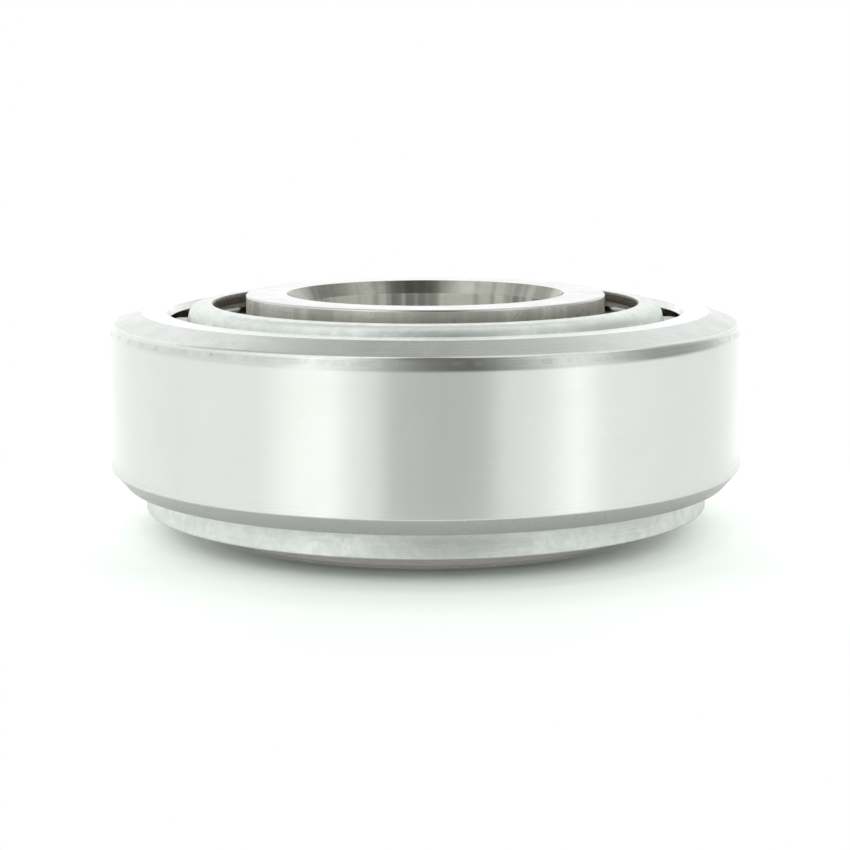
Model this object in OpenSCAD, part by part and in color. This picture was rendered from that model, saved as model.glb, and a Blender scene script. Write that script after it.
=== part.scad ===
// Single-row tapered roller bearing, standing on the back face of its inner ring.
// +Z runs up the bearing axis and the origin is the centre of that back face.
// The raceways and the roller axes all meet at one apex on the axis, so the rollers roll true.

/* [Boundary sizes] */
// Bore diameter of the inner ring
bore_d = 19.05; // [15:0.05:25]
// Outside diameter of the outer ring
outside_d = 45.237; // [40:0.001:52]
// Width from the inner ring's back face to the outer ring's back face
assembled_w = 15.494; // [13:0.001:18]
// Width of the inner ring
inner_w = 16.637; // [14:0.001:20]
// Width of the outer ring
outer_w = 12.065; // [9:0.001:14]

/* [Outer ring] */
// Wall of the outer ring at its back face, outside diameter to raceway
outer_wall = 4.47; // [3.6:0.01:5.2]
// Half angle of the outer raceway
contact_angle = 11.31; // [9.5:0.01:13.5]
// Height of the steep edge band above the ground outside diameter
edge_band_h = 0.8; // [0.3:0.05:1.2]
// How far the edge band leans in
edge_band_w = 0.25; // [0.1:0.05:0.5]
// Height of the corner bevel at the back face
back_bevel_h = 0.79; // [0.5:0.01:1.3]
// Width of the corner bevel at the back face
back_bevel_w = 2.15; // [1.2:0.05:2.4]
// Height of the corner bevel at the front face
front_bevel_h = 1.16; // [0.5:0.01:1.5]
// Width of the corner bevel at the front face
front_bevel_w = 1; // [0.5:0.01:1.2]
// Edge break where the raceway meets the front face
race_break = 0.15; // [0.05:0.01:0.3]
// Width of the lead-in bevel where the raceway meets the back face
mouth_bevel_w = 0.3; // [0.1:0.01:0.5]
// Height of the lead-in bevel where the raceway meets the back face
mouth_bevel_h = 0.5; // [0.2:0.01:0.8]

/* [Rollers] */
// Diameter of a roller at its large end
roller_big_d = 6.7; // [5.5:0.01:7.5]
// Length of a roller
roller_len = 10.6; // [8:0.05:12]
// Least space between neighbouring rollers
roller_space = 0.7; // [0.4:0.05:1.5]
// Depth of the rollers' large ends below the inner ring's front face, on the outer raceway
roller_inset = 12.208; // [10:0.001:13]
// Corner radius of a roller's ends
roller_corner = 0.35; // [0.15:0.01:0.5]
// Radius of the domed large end, as a share of its distance from the apex
dome_share = 0.9; // [0.8:0.01:0.95]
// Running clearance between roller and raceway
race_gap = 0.02; // [0.01:0.005:0.04]

/* [Inner ring] */
// Height of the large rib above the raceway
large_rib_h = 2.4; // [1.5:0.01:3]
// Height of the small rib above the raceway
small_rib_h = 0.5; // [0.3:0.01:0.8]
// Corner radius of the small rib on the roller side
small_rib_round = 0.6; // [0.2:0.01:0.65]
// Edge radius of the small rib at the front face
small_rib_edge = 0.14; // [0.05:0.01:0.3]
// Corner radius of the large rib
large_rib_edge = 0.25; // [0.1:0.01:0.4]
// Depth of the relief grooves at both ends of the raceway
groove_depth = 0.3; // [0.15:0.01:0.45]
// Length of a relief groove along the raceway
groove_len = 0.7; // [0.5:0.05:1]
// Running clearance between the rollers' large ends and the large rib
rib_gap = 0.03; // [0.01:0.005:0.06]
// Clearance between the rollers' small ends and the small rib
small_rib_gap = 0.35; // [0.2:0.01:0.5]
// Radius of the bore corner at the back face
bore_fillet = 1.3; // [0.6:0.05:1.6]
// Height of the lead-in bevel of the bore at the front face
lead_h = 0.95; // [0.5:0.01:1.3]
// Width of the lead-in bevel of the bore at the front face
lead_w = 0.43; // [0.3:0.01:0.8]

/* [Cage] */
// Thickness of the cage's sheet steel
sheet_t = 0.75; // [0.6:0.01:0.9]
// Height of the cage's outer face above the roller axes, at the small ends
cage_lift = 1.8; // [1.6:0.01:2]
// How much further than the roller axes the cage wall leans out, in degrees
cage_lean = 4; // [2:0.05:5]
// Height of the cage's crown above the rollers' small ends
crown_h = 1.68; // [1.5:0.01:2]
// Inner bend radius between the cage wall and its flange
bend_r = 0.1; // [0.05:0.01:0.4]
// Width of the inward flange, from the wall's corner to its cut edge
flange_w = 1.6; // [1.2:0.05:2.2]
// Depth of the cage's lower edge below the rollers' large ends, on their axes
cage_foot_z = 2.33; // [1.8:0.01:3]
// Radius on the cut edges of the sheet
sheet_edge = 0.12; // [0.05:0.01:0.2]
// Clearance between a roller's side and its pocket
pocket_gap = 0.12; // [0.05:0.01:0.2]
// Clearance between a roller's ends and its pocket
pocket_end_gap = 0.25; // [0.1:0.01:0.4]
// Radius of the pocket corners
pocket_corner = 0.6; // [0.3:0.05:0.8]

/* [Hidden] */
ring_facets = 144;
roller_facets = 64;
bore_r = bore_d / 2;
outside_r = outside_d / 2;
outer_front_z = assembled_w - outer_w;

// Apex of the rolling cones, and how far the rollers' large ends lie from it along the raceway
mouth_r = outside_r - outer_wall;
apex_z = assembled_w + mouth_r / tan(contact_angle);
contact_len = (apex_z - inner_w + roller_inset) / cos(contact_angle);

// Half angle of a roller, and of the cone that the roller axes lie on
roller_angle = asin(roller_big_d / 2 / contact_len);
axis_tilt = contact_angle - roller_angle;

// Distances from the apex along a roller's axis
big_end = contact_len * cos(roller_angle);
small_end = big_end - roller_len;
mid_len = big_end - roller_len / 2;

// As many rollers as fit round the pitch circle with their least space
pitch_r = mid_len * sin(axis_tilt);
roller_pitch = 2 * cone_r(mid_len) + roller_space;
roller_n = floor(180 / asin(roller_pitch / 2 / pitch_r));

// The two ribs, and the line of the cage's outer face
large_rib_r = inner_race(big_end)[0] + large_rib_h;
small_rib_r = inner_race(small_end)[0] + small_rib_h;
large_face = big_end + rib_gap;
small_face = small_end - small_rib_gap;
cage_tilt = axis_tilt + cage_lean;
cage_ref = by_axis(small_end, cage_lift);
crown_z = by_axis(small_end, 0)[1] + crown_h;
foot_z = by_axis(big_end, 0)[1] - cage_foot_z;

function roller_name(i) = str("roller_", i < 10 ? "0" : "", i);
roller_names = [for (i = [1:roller_n]) roller_name(i)];

// Half-plane point at distance d from the apex along a roller's axis and h outward from it
function by_axis(d, h) = [
    d * sin(axis_tilt) + h * cos(axis_tilt),
    apex_z - d * cos(axis_tilt) + h * sin(axis_tilt)
];

// Radius of the rolling cone at distance d from the apex
function cone_r(d) = d * tan(roller_angle);

// Point on the inner raceway, or sunk below it
function inner_race(d, sunk = 0) = by_axis(d, -cone_r(d) - sunk);

// Point where the face square to the roller axes at distance d reaches radius r
function on_face(d, r) = by_axis(d, (r - d * sin(axis_tilt)) / cos(axis_tilt));

// Radius of the outer raceway at height z
function outer_race_r(z) = (apex_z - z) * tan(contact_angle);

// Radius of the cage's outer face at height z, and of its inner face
function cage_out_r(z) = cage_ref[0] + (cage_ref[1] - z) * tan(cage_tilt);
function cage_in_r(z) = cage_out_r(z) - sheet_t / cos(cage_tilt);

// Corner points as [r, z, radius], with each corner rounded to its radius
function unit(v) = v / norm(v);
function flat(v) = [v[0], v[1]];
function arc_steps(radius) = radius < 0.7 ? 3 : 5;

function corner(before, at, after, radius) =
    let (u = unit(before - at))
    let (v = unit(after - at))
    let (half = acos(u * v) / 2)
    let (centre = at + unit(u + v) * radius / sin(half))
    let (from = at + u * radius / tan(half) - centre)
    let (to = at + v * radius / tan(half) - centre)
    let (start = atan2(from[1], from[0]))
    let (turn = (atan2(to[1], to[0]) - start + 540) % 360 - 180)
    let (steps = arc_steps(radius))
    [for (i = [0:steps]) centre + radius * [cos(start + turn * i / steps), sin(start + turn * i / steps)]];

function rounded(points) = [
    for (i = [0:len(points) - 1])
        let (before = points[(i + len(points) - 1) % len(points)])
        let (at = points[i])
        let (after = points[(i + 1) % len(points)])
        each (at[2] > 0 ? corner(flat(before), flat(at), flat(after), at[2]) : [flat(at)])
];

function with_radius(point, radius) = [point[0], point[1], radius];

// Places a piece drawn along +Z from a roller's large end onto roller axis i
module on_roller_axis(i) {
    seat = by_axis(big_end, 0);
    rotate([0, 0, (i - 1) * 360 / roller_n])
        translate([seat[0], 0, seat[1]])
            rotate([0, -axis_tilt, 0])
                children();
}

// Hardened ring with a ground outside, bevelled corners and a conical raceway
module outer_ring() {
    bevel_z = assembled_w - back_bevel_h;
    band_r = outside_r - edge_band_w;
    color([0.80, 0.81, 0.80])
        rotate_extrude($fn = ring_facets)
            polygon(rounded([
                [outside_r, outer_front_z + front_bevel_h, 0],
                [outside_r, bevel_z - edge_band_h, 0],
                [band_r, bevel_z, 0.25],
                [band_r - back_bevel_w, assembled_w, 0.12],
                [mouth_r + mouth_bevel_w, assembled_w, 0],
                [outer_race_r(assembled_w - mouth_bevel_h), assembled_w - mouth_bevel_h, 0],
                [outer_race_r(outer_front_z + race_break), outer_front_z + race_break, 0],
                [outer_race_r(outer_front_z) + race_break, outer_front_z, 0],
                [outside_r - front_bevel_w, outer_front_z, 0.15]
            ]));
}

// Bored ring whose raceway lies between a large guide rib and a small holding rib
module inner_ring() {
    color([0.78, 0.79, 0.78])
        rotate_extrude($fn = ring_facets)
            polygon(rounded([
                [bore_r, 0, bore_fillet],
                [large_rib_r, 0, large_rib_edge],
                with_radius(on_face(large_face, large_rib_r), large_rib_edge),
                with_radius(inner_race(large_face, groove_depth), groove_depth / 2),
                with_radius(inner_race(big_end - groove_len / 2, groove_depth), groove_depth / 2),
                with_radius(inner_race(big_end - groove_len), 0),
                with_radius(inner_race(small_end + groove_len), 0),
                with_radius(inner_race(small_end + groove_len / 2, groove_depth), groove_depth / 2),
                with_radius(inner_race(small_face, groove_depth), groove_depth / 2),
                with_radius(on_face(small_face, small_rib_r), small_rib_round),
                [small_rib_r, inner_w, small_rib_edge],
                [bore_r + lead_w, inner_w, 0],
                [bore_r, inner_w - lead_h, 0]
            ]));
}

// Roller-shaped hole, larger by the pocket clearances and with rounded corners
module pocket() {
    low_r = cone_r(big_end + pocket_end_gap) + pocket_gap;
    high_r = cone_r(small_end - pocket_end_gap) + pocket_gap;
    translate([0, 0, -pocket_end_gap])
        rotate_extrude($fn = roller_facets)
            polygon(rounded([
                [0, 0, 0],
                [low_r, 0, pocket_corner],
                [high_r, roller_len + 2 * pocket_end_gap, pocket_corner],
                [0, roller_len + 2 * pocket_end_gap, 0]
            ]));
}

// Pressed sheet cage: a conical wall with a pocket for each roller and an inward flange
module cage() {
    flange_r = cage_out_r(crown_z) - flange_w;
    color([0.83, 0.87, 0.84])
        difference() {
            rotate_extrude($fn = ring_facets)
                polygon(rounded([
                    [cage_out_r(foot_z), foot_z, sheet_edge],
                    [cage_out_r(crown_z), crown_z, bend_r + sheet_t],
                    [flange_r, crown_z, sheet_edge],
                    [flange_r, crown_z - sheet_t, sheet_edge],
                    [cage_in_r(crown_z - sheet_t), crown_z - sheet_t, bend_r],
                    [cage_in_r(foot_z), foot_z, sheet_edge]
                ]));
            for (i = [1:roller_n])
                on_roller_axis(i) pocket();
        }
}

// Tapered roller with rounded corners and a domed large end
module roller(i) {
    dome_r = dome_share * big_end;
    rim_r = cone_r(big_end) - race_gap;
    tip_r = cone_r(small_end) - race_gap;
    dome_steps = 4;
    reach = asin((rim_r - roller_corner) / dome_r);
    dome = [
        for (k = [0:dome_steps])
            let (a = reach * k / dome_steps)
            [dome_r * sin(a), dome_r * (1 - cos(a)), 0]
    ];
    rim_z = dome_r * (1 - cos(asin(rim_r / dome_r)));
    color([0.87, 0.88, 0.88])
        on_roller_axis(i)
            rotate_extrude($fn = roller_facets)
                polygon(rounded(concat(dome, [
                    [rim_r, rim_z, roller_corner],
                    [tip_r, roller_len, roller_corner],
                    [0, roller_len, 0]
                ])));
}

outer_ring();
inner_ring();
cage();
for (i = [1:roller_n])
    roller(i);
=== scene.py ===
"""Looks of a tapered roller bearing: turned rings, pressed cage, rollers, light tent and camera.

Sizes are millimetres in the classes and become metres in the meshes. +Z runs up the bearing axis.
"""

import logging
import math
from dataclasses import dataclass, field
from enum import Enum
from typing import Any

import bmesh
import bpy
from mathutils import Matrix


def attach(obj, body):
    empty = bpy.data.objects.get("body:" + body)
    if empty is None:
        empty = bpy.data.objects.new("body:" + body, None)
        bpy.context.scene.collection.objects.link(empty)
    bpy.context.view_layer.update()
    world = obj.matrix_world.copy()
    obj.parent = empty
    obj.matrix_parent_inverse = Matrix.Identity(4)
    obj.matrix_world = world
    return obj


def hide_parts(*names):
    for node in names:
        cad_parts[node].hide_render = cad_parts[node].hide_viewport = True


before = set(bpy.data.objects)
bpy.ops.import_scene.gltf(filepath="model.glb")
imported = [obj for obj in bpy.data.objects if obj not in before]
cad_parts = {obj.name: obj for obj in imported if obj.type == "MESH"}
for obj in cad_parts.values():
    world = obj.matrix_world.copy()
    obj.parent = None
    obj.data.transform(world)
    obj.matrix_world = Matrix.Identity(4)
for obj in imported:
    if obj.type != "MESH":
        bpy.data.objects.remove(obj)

LOG = logging.getLogger("bearing")
MM = 0.001
Point = tuple[float, float]
Vec3 = tuple[float, float, float]
Row = list[bmesh.types.BMVert]
WallFace = tuple[Row, Row, Row]


# Nodes

class NodeSheet:
    """Adds nodes to one node tree and joins them."""

    def __init__(self, tree: bpy.types.NodeTree) -> None:
        """Keeps the tree.

        Args:
            tree: The node tree that the nodes go into.
        """
        self.tree = tree

    def add(self, kind: str, inputs: dict[Any, Any] | None = None, **settings: Any) -> bpy.types.Node:
        """Adds one node.

        Args:
            kind: The node's type name.
            inputs: Socket names or indices, with a value or with the output socket that feeds each.
            settings: The node's own properties.

        Returns:
            The new node.
        """
        node = self.tree.nodes.new(kind)
        for name, value in settings.items():
            setattr(node, name, value)
        for key, value in (inputs or {}).items():
            socket = self.socket(node, key)
            if isinstance(value, bpy.types.NodeSocket):
                self.tree.links.new(value, socket)
            else:
                socket.default_value = value
        return node

    @staticmethod
    def socket(node: bpy.types.Node, key: Any) -> bpy.types.NodeSocket:
        """Finds an input socket that is in use.

        Args:
            node: The node that has the socket.
            key: The socket's name or its index.

        Returns:
            The input socket.
        """
        if isinstance(key, int):
            return node.inputs[key]
        return next(s for s in node.inputs if s.name == key and s.enabled)

    def maths(self, operation: str, *values: Any) -> bpy.types.NodeSocket:
        """Adds a Math node.

        Args:
            operation: The operation's name.
            values: Numbers or output sockets, in the order of the node's inputs.

        Returns:
            The node's output socket.
        """
        return self.add("ShaderNodeMath", dict(enumerate(values)), operation=operation).outputs[0]

    def remap(self, value: Any, low: float, high: float, to_low: float, to_high: float,
              smooth: bool = True) -> bpy.types.NodeSocket:
        """Maps one range onto another and holds it at both ends.

        Args:
            value: The output socket that is mapped.
            low: Start of the range.
            high: End of the range.
            to_low: Result at the start.
            to_high: Result at the end.
            smooth: Whether the change eases in and out.

        Returns:
            The node's output socket.
        """
        kind = "SMOOTHSTEP" if smooth else "LINEAR"
        node = self.add("ShaderNodeMapRange", {0: value, 1: low, 2: high, 3: to_low, 4: to_high},
                        interpolation_type=kind)
        return node.outputs[0]

    def curve(self, value: Any, points: list[tuple[float, float]]) -> bpy.types.NodeSocket:
        """Adds a Float Curve with straight runs between its points.

        Args:
            value: The output socket that drives the curve.
            points: Place and height of each point, both scaled to stay under 1.

        Returns:
            The curve's height times two.
        """
        node = self.add("ShaderNodeFloatCurve", {1: value})
        line = node.mapping.curves[0]
        while len(line.points) < len(points):
            line.points.new(0.5, 0.5)
        for point, spot in zip(line.points, points):
            point.location = (spot[0], spot[1] / 2)
            point.handle_type = "VECTOR"
        node.mapping.update()
        return self.maths("MULTIPLY", node.outputs[0], 2.0)

    def mix(self, factor: Any, first: Any, second: Any) -> bpy.types.NodeSocket:
        """Mixes two numbers.

        Args:
            factor: Share of the second number.
            first: First number.
            second: Second number.

        Returns:
            The mixed number's output socket.
        """
        return self.add("ShaderNodeMix", {0: factor, 2: first, 3: second}, data_type="FLOAT").outputs[0]

    def blend(self, factor: Any, first: Any, second: Any, mode: str = "MIX") -> bpy.types.NodeSocket:
        """Mixes two colours.

        Args:
            factor: Share of the second colour.
            first: First colour.
            second: Second colour.
            mode: Blend mode.

        Returns:
            The mixed colour's output socket.
        """
        node = self.add("ShaderNodeMix", data_type="RGBA", blend_type=mode)
        for index, value in ((0, factor), (6, first), (7, second)):
            if isinstance(value, bpy.types.NodeSocket):
                self.tree.links.new(value, node.inputs[index])
            else:
                node.inputs[index].default_value = value if index == 0 else (*value, 1)
        return node.outputs[2]


# Finishes

class Finish(Enum):
    """Named surfaces of the bearing."""

    GROUND = 0
    BEVEL = 1
    BAND = 2
    FACE = 3
    RACE = 4
    RIB = 5
    BORE = 6
    LEAD = 7
    EDGE = 8
    SHEET = 9
    CUT = 10
    ROLLER = 11
    FOOT = 12
    END = 13


@dataclass(frozen=True)
class Steel:
    """One machined or pressed steel surface.

    Attributes:
        colour: Metal colour; on the rib, bore, large-rib foot and lead finishes it also holds painted light or
            painted shade.
        shade: Colour that the mottling runs to.
        roughness: Mean roughness.
        spread: How far the roughness strays.
        mottle: Size of the mottling in millimetres.
        amount: Share of the shade in the mottling.
        pitch: Pitch of the lathe or grinding lines in millimetres.
        line: Depth of those lines in the bump.
        dent: Depth of the mottling in the bump.
        speck: Share of small dark specks.
        streak: Depth of the dark streaks that run across the lathe lines.
        metal: Share of bare metal; the rest is matt. On the cage sheet that is matt scale; on the rib, bore and
        large-rib foot the matt share is painted light that lightens them in the shade inside the bearing.
        phase: Slice of the noise that the streaks are cut from.
    """

    colour: Vec3
    shade: Vec3
    roughness: float
    spread: float = 0.04
    mottle: float = 2.0
    amount: float = 0.4
    pitch: float = 0.08
    line: float = 0.1
    dent: float = 0.0
    speck: float = 0.0
    streak: float = 0.0
    metal: float = 1.0
    phase: float = 0.0

    def material(self, name: str) -> bpy.types.Material:
        """Builds the finish's material.

        Args:
            name: Name of the material.

        Returns:
            The material.
        """
        material = bpy.data.materials.new(name)
        material.use_nodes = True
        sheet = NodeSheet(material.node_tree)
        shader = material.node_tree.nodes["Principled BSDF"]
        place = sheet.add("ShaderNodeTexCoord").outputs["Object"]
        place = sheet.add("ShaderNodeMapping", {"Vector": place, "Scale": (1 / MM,) * 3}).outputs[0]
        blotch = self.blotches(sheet, place)
        lines = self.lathe_lines(sheet, place)
        colour = sheet.blend(sheet.maths("MULTIPLY", blotch, self.amount), self.colour, self.shade)
        tone = sheet.remap(lines, 0.3, 0.7, 1 - self.line * 0.5, 1, smooth=False)
        if self.streak:
            tone = sheet.maths("MULTIPLY", tone, self.streaks(sheet, place))
        grey = sheet.add("ShaderNodeCombineColor", {0: tone, 1: tone, 2: tone}).outputs[0]
        colour = sheet.blend(1.0, colour, grey, "MULTIPLY")
        rough = sheet.remap(blotch, 0, 1, self.roughness - self.spread, self.roughness + self.spread)
        rough = sheet.maths("ADD", rough, sheet.remap(lines, 0.3, 0.7, -self.spread / 3, self.spread / 3))
        height = sheet.maths("MULTIPLY", lines, self.line * self.pitch * MM)
        if self.dent:
            height = sheet.maths("ADD", height, sheet.maths("MULTIPLY", blotch, self.dent * MM))
        if self.speck:
            mark = self.specks(sheet, place)
            colour = sheet.blend(mark, colour, tuple(c * 0.3 for c in self.colour))
            rough = sheet.maths("ADD", rough, sheet.maths("MULTIPLY", mark, 0.2))
        bump = sheet.add("ShaderNodeBump", {"Strength": 1.0, "Distance": 1.0, "Height": height})
        shader.inputs["Metallic"].default_value = self.metal
        for socket, source in (("Base Color", colour), ("Roughness", rough), ("Normal", bump.outputs[0])):
            sheet.tree.links.new(source, shader.inputs[socket])
        return material

    def blotches(self, sheet: NodeSheet, place: bpy.types.NodeSocket) -> bpy.types.NodeSocket:
        """Cloudy mottling from 0 to 1.

        Args:
            sheet: The material's nodes.
            place: Object position in millimetres.

        Returns:
            The mottling's output socket.
        """
        cloud = sheet.add("ShaderNodeTexNoise",
                          {"Vector": place, "Scale": 1 / self.mottle, "Detail": 5.0, "Roughness": 0.62,
                           "Distortion": 0.4})
        return sheet.remap(cloud.outputs[0], 0.32, 0.68, 0, 1)

    def lathe_lines(self, sheet: NodeSheet, place: bpy.types.NodeSocket) -> bpy.types.NodeSocket:
        """Fine lines round the axis, as a tool or a grinding wheel leaves them.

        Args:
            sheet: The material's nodes.
            place: Object position in millimetres.

        Returns:
            The lines' output socket.
        """
        parts = sheet.add("ShaderNodeSeparateXYZ", {0: place}).outputs
        radius = sheet.maths("SQRT", sheet.maths("ADD", sheet.maths("MULTIPLY", parts[0], parts[0]),
                                                 sheet.maths("MULTIPLY", parts[1], parts[1])))
        fast = 1 / self.pitch
        slow = 0.12
        spot = sheet.add("ShaderNodeCombineXYZ", {
            0: sheet.maths("MULTIPLY_ADD", radius, fast, sheet.maths("MULTIPLY", parts[0], slow)),
            1: sheet.maths("MULTIPLY_ADD", parts[2], fast, sheet.maths("MULTIPLY", parts[1], slow)),
            2: sheet.maths("MULTIPLY", sheet.maths("SUBTRACT", parts[0], parts[1]), slow)})
        return sheet.add("ShaderNodeTexNoise", {"Vector": spot.outputs[0], "Scale": 1.0, "Detail": 2.0,
                                                "Roughness": 0.5}).outputs[0]

    def streaks(self, sheet: NodeSheet, place: bpy.types.NodeSocket) -> bpy.types.NodeSocket:
        """Broad streaks that change only with the angle round the axis.

        Args:
            sheet: The material's nodes.
            place: Object position in millimetres.

        Returns:
            The streaks' output socket, 1 where the surface is clear.
        """
        parts = sheet.add("ShaderNodeSeparateXYZ", {0: place}).outputs
        flat = sheet.add("ShaderNodeCombineXYZ", {0: parts[0], 1: parts[1]}).outputs[0]
        ray = sheet.add("ShaderNodeVectorMath", {0: flat}, operation="NORMALIZE").outputs[0]
        ray = sheet.add("ShaderNodeVectorMath", {0: ray, 1: (0, 0, self.phase)}, operation="ADD").outputs[0]
        cloud = sheet.add("ShaderNodeTexNoise", {"Vector": ray, "Scale": 4.5, "Detail": 3.0, "Roughness": 0.6})
        return sheet.remap(cloud.outputs[0], 0.38, 0.6, 1 - self.streak, 1)

    def specks(self, sheet: NodeSheet, place: bpy.types.NodeSocket) -> bpy.types.NodeSocket:
        """Sparse small pits and marks.

        Args:
            sheet: The material's nodes.
            place: Object position in millimetres.

        Returns:
            The marks' output socket.
        """
        cells = sheet.add("ShaderNodeTexNoise", {"Vector": place, "Scale": 2.6, "Detail": 3.0,
                                                 "Roughness": 0.7}).outputs[0]
        where = sheet.add("ShaderNodeTexNoise", {"Vector": place, "Scale": 0.35, "Detail": 1.0}).outputs[0]
        mark = sheet.remap(cells, 0.66, 0.74, 0, 1)
        return sheet.maths("MULTIPLY", mark, sheet.remap(where, 0.45, 0.62, 0, self.speck))


STEELS: dict[Finish, Steel] = {
    Finish.GROUND: Steel((0.79, 0.83, 0.78), (0.75, 0.80, 0.74), 0.14, 0.03, 7.0, 0.5, 0.06, 0.04),
    Finish.BEVEL: Steel((0.75, 0.78, 0.75), (0.70, 0.73, 0.70), 0.24, 0.03, 1.6, 0.5, 0.10, 0.05, 0.0005, 0.15),
    Finish.BAND: Steel((0.83, 0.85, 0.82), (0.66, 0.68, 0.64), 0.20, 0.06, 1.1, 0.6, 0.12, 0.08, 0.0015, 0.6),
    Finish.FACE: Steel((0.91, 0.92, 0.90), (0.87, 0.88, 0.86), 0.20, 0.04, 2.0, 0.5, 0.05, 0.08),
    Finish.END: Steel((0.745, 0.755, 0.74), (0.72, 0.73, 0.71), 0.20, 0.03, 2.0, 0.5, 0.05, 0.08),
    Finish.RACE: Steel((0.78, 0.79, 0.77), (0.70, 0.71, 0.69), 0.14, 0.03, 3.0, 0.5, 0.04, 0.08),
    # Painted light: near-white colour and a mostly matt share stand in for the light that the rib catches in the dark
    # gap under the cage.
    Finish.RIB: Steel((0.98, 0.98, 0.88), (0.90, 0.90, 0.79), 0.30, 0.05, 1.2, 0.4, 0.07, 0.06, 0.001, 0.1,
                      streak=0.30, metal=0.20, phase=13.3),
    # Painted light: near-white colour and a mostly matt share stand in for the light that the bore reflects from
    # above.
    Finish.BORE: Steel((0.98, 0.99, 0.91), (0.90, 0.90, 0.81), 0.22, 0.05, 1.6, 0.4, 0.05, 0.10, 0.001, 0.1,
                       streak=0.62, metal=0.25, phase=33.65),
    # Painted shade: the lead chamfer is much darker than the bore of the same steel, standing in for the dark camera
    # side that it reflects.
    Finish.LEAD: Steel((0.56, 0.56, 0.50), (0.42, 0.42, 0.36), 0.20, 0.05, 1.2, 0.4, 0.07, 0.12, 0.001, 0.2,
                       streak=0.35, metal=0.95, phase=33.65),
    Finish.EDGE: Steel((0.90, 0.92, 0.89), (0.82, 0.84, 0.80), 0.16, 0.04, 0.8, 0.5, 0.05, 0.06),
    Finish.SHEET: Steel((0.93, 0.98, 0.94), (0.78, 0.85, 0.79), 0.38, 0.06, 0.7, 0.6, 0.25, 0.06, 0.009, 0.3,
                        metal=0.7),
    Finish.CUT: Steel((0.26, 0.23, 0.20), (0.18, 0.16, 0.13), 0.42, 0.06, 0.5, 0.6, 0.15, 0.2, 0.006),
    Finish.ROLLER: Steel((0.36, 0.35, 0.32), (0.28, 0.27, 0.25), 0.20, 0.03, 2.5, 0.4, 0.04, 0.05, metal=0.8),
    # Painted light: the large rib's outer face is near white and mostly matt so that it stays light in the outer
    # ring's shade.
    Finish.FOOT: Steel((0.99, 0.95, 0.94), (0.90, 0.86, 0.85), 0.16, 0.03, 1.0, 0.5, 0.08, 0.10, 0.001, metal=0.3),
}


class Finishes:
    """Makes each finish's material once."""

    def __init__(self) -> None:
        """Starts with no material made."""
        self.made: dict[Finish, bpy.types.Material] = {}

    def of(self, finish: Finish) -> bpy.types.Material:
        """Gives the material of a finish.

        Args:
            finish: The named surface.

        Returns:
            Its material.
        """
        if finish not in self.made:
            self.made[finish] = STEELS[finish].material(f"steel_{finish.name.lower()}")
        return self.made[finish]


# Rolling geometry

@dataclass(frozen=True)
class Rolling:
    """Sizes that rings, cage and rollers share, with the apex that all rolling cones meet in."""

    bore_d: float = 19.05
    outside_d: float = 45.237
    assembled_w: float = 15.494
    inner_w: float = 16.637
    outer_w: float = 12.065
    outer_wall: float = 4.47
    contact_deg: float = 11.31
    roller_big_d: float = 6.7
    roller_len: float = 10.6
    roller_inset: float = 12.208
    count: int = 14

    @property
    def contact(self) -> float:
        """Half angle of the outer raceway."""
        return math.radians(self.contact_deg)

    @property
    def mouth_r(self) -> float:
        """Radius of the outer raceway at the outer ring's back face."""
        return self.outside_d / 2 - self.outer_wall

    @property
    def front_z(self) -> float:
        """Height of the outer ring's front face."""
        return self.assembled_w - self.outer_w

    @property
    def apex_z(self) -> float:
        """Height of the apex of the rolling cones."""
        return self.assembled_w + self.mouth_r / math.tan(self.contact)

    @property
    def contact_len(self) -> float:
        """Distance of the large ends from the apex along the outer raceway."""
        return (self.apex_z - self.inner_w + self.roller_inset) / math.cos(self.contact)

    @property
    def roller_angle(self) -> float:
        """Half angle of a roller."""
        return math.asin(self.roller_big_d / 2 / self.contact_len)

    @property
    def tilt(self) -> float:
        """Half angle of the cone that the roller axes lie on."""
        return self.contact - self.roller_angle

    @property
    def big_end(self) -> float:
        """Distance of the large ends from the apex along a roller's axis."""
        return self.contact_len * math.cos(self.roller_angle)

    @property
    def small_end(self) -> float:
        """Distance of the small ends from the apex along a roller's axis."""
        return self.big_end - self.roller_len

    def by_axis(self, along: float, out: float) -> Point:
        """Half-plane point beside a roller's axis.

        Args:
            along: Distance from the apex along the axis.
            out: Distance outward from the axis.

        Returns:
            Radius and height of the point.
        """
        sin, cos = math.sin(self.tilt), math.cos(self.tilt)
        return along * sin + out * cos, self.apex_z - along * cos + out * sin

    def cone_r(self, along: float) -> float:
        """Radius of the rolling cone at a distance from the apex."""
        return along * math.tan(self.roller_angle)

    def inner_race(self, along: float, sunk: float = 0.0) -> Point:
        """Point on the inner raceway, or sunk below it."""
        return self.by_axis(along, -self.cone_r(along) - sunk)

    def on_face(self, along: float, radius: float) -> Point:
        """Point where the face square to the roller axes reaches a radius."""
        sin, cos = math.sin(self.tilt), math.cos(self.tilt)
        return self.by_axis(along, (radius - along * sin) / cos)

    def outer_race_r(self, height: float) -> float:
        """Radius of the outer raceway at a height."""
        return (self.apex_z - height) * math.tan(self.contact)


# Turned pieces

@dataclass(frozen=True)
class Corner:
    """One corner of a turned profile.

    Attributes:
        at: Radius and height.
        radius: Radius that rounds the corner.
        run: Finish of the straight run that follows.
        edge: Finish of the rounding.
    """

    at: Point
    radius: float
    run: Finish
    edge: Finish = Finish.EDGE


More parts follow.
